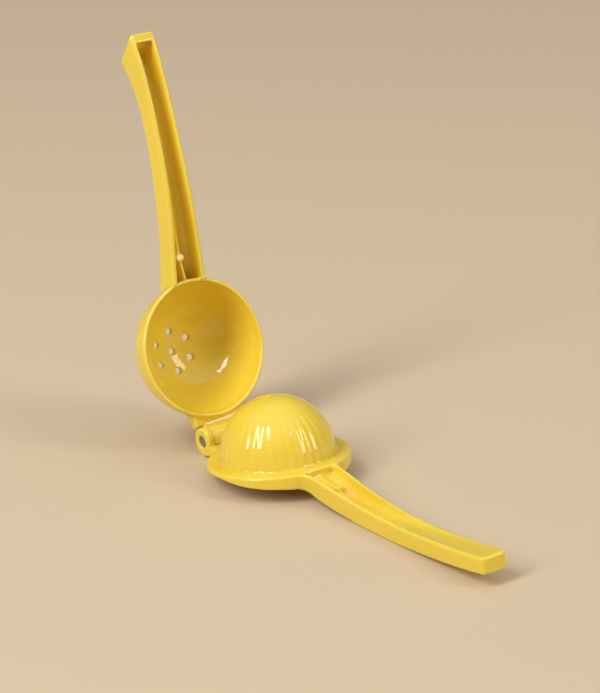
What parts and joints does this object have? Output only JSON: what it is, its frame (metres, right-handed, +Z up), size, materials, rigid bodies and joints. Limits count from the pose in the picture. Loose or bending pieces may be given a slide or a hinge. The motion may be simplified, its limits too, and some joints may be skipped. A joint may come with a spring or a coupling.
{
  "type": "hinged lemon squeezer",
  "caption": "Hand lemon squeezer of two cast arms on one hinge: a bowl with drain holes closes over a fluted dome, each on a channel handle",
  "frame": {"origin": "bottom centre of the bounding box of the open tool, as it rests on a flat surface", "axes": "+Y along the hinge axis, across the tool; +X from the hinge towards the end of the press arm's handle; +Z up from the surface it rests on"},
  "size_m": [0.2986, 0.0778, 0.2228],
  "materials": {
    "yellow_enamel": "glossy enamel on cast aluminium",
    "pin_steel": "turned steel"
  },
  "bodies": {
    "press": {"press_arm": "yellow_enamel", "hinge_pin": "pin_steel"},
    "cup": {"cup_arm": "yellow_enamel"}
  },
  "joints": [
    {"name": "hinge", "type": "hinge", "parent": "press", "child": "cup", "pos_m": [-0.07703, 0, 0.00796], "axis": [0, 1, 0], "range_deg": [0, 101.5]}
  ]
}
